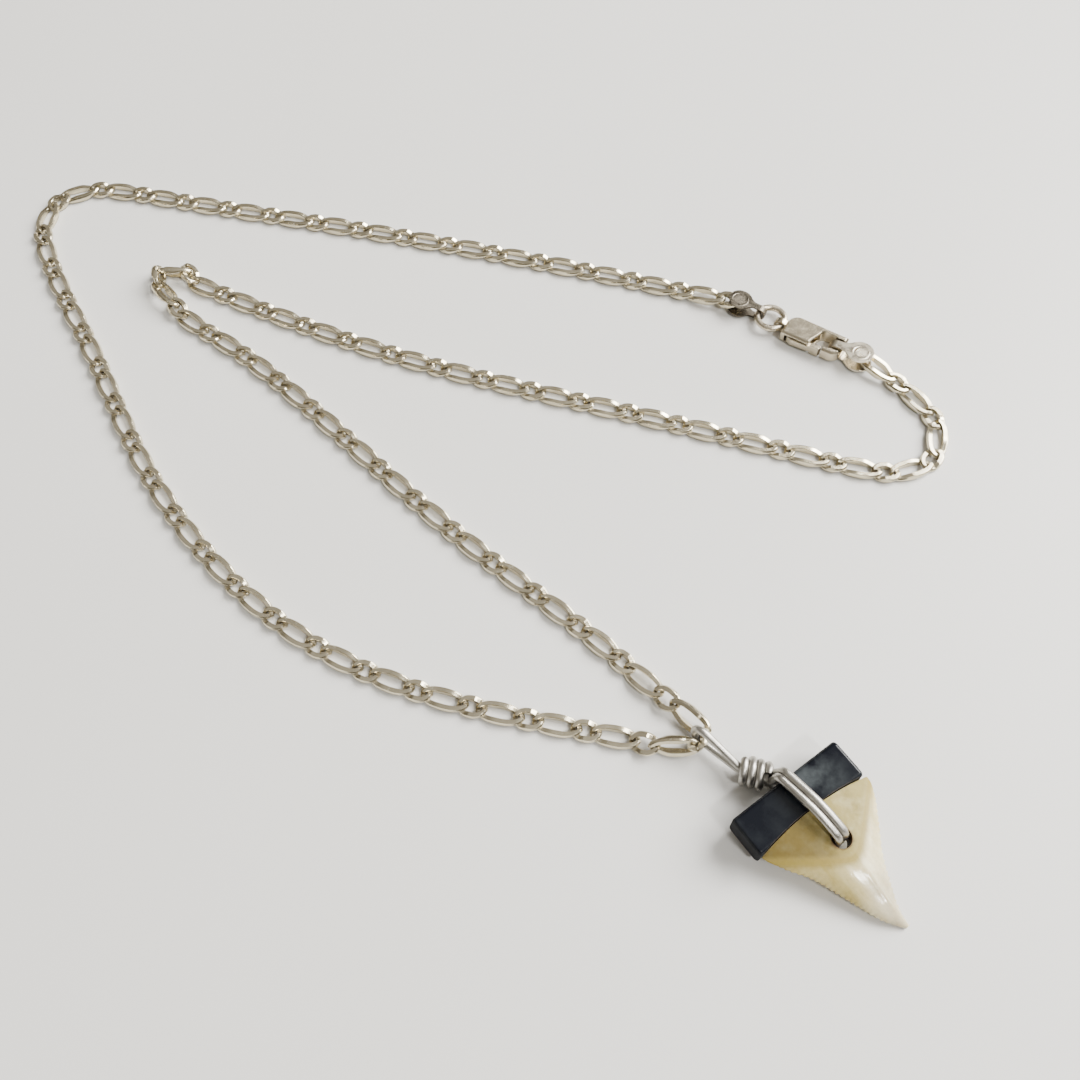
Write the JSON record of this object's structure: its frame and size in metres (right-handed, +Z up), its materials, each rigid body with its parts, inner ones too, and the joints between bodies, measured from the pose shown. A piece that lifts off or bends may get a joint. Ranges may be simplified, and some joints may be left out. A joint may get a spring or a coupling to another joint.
{
  "type": "chain necklace with tooth pendant",
  "caption": "Silver necklace of alternating long and small flat-cut curb links, lying in a folded loop, with a capped tooth pendant on a wire bail and a spring lever clasp.",
  "frame": {"origin": "middle of the bounding box on the table that the necklace lies on", "axes": "+Z up from the table, +X along the longer side of the laid loop towards the clasp's end, +Y towards the far strand"},
  "size_m": [0.1274, 0.1175, 0.0067],
  "materials": {
    "silver_links": "polished diamond-cut sterling silver, warm grey",
    "silver_fittings": "polished stamped silver sheet and wire",
    "silver_clasp": "satin polished silver with bright bevels",
    "bail_wire": "dull drawn wire with soft scratches",
    "cap_gloss": "glossy near-black resin with smoky patches and a chipped brown edge",
    "tooth_ivory": "cream enamel with an ochre root and a glossy tip"
  },
  "bodies": {
    "necklace": {"chain": "silver_links", "left_tag": "silver_fittings", "right_tag": "silver_fittings", "jump_ring": "silver_fittings", "clasp_body": "silver_clasp", "wire_bail": "bail_wire", "tooth_cap": "cap_gloss", "tooth": "tooth_ivory"},
    "clasp_lever": {"clasp_lever": "silver_clasp"}
  },
  "joints": [
    {"name": "clasp_lever_hinge", "type": "hinge", "parent": "necklace", "child": "clasp_lever", "pos_m": [0.04656, 0.02025, 0.0011], "axis": [0, 0, 1], "range_deg": [0, 20], "stiffness_Nm_per_rad": 0.002, "springref_deg": -17.19}
  ]
}
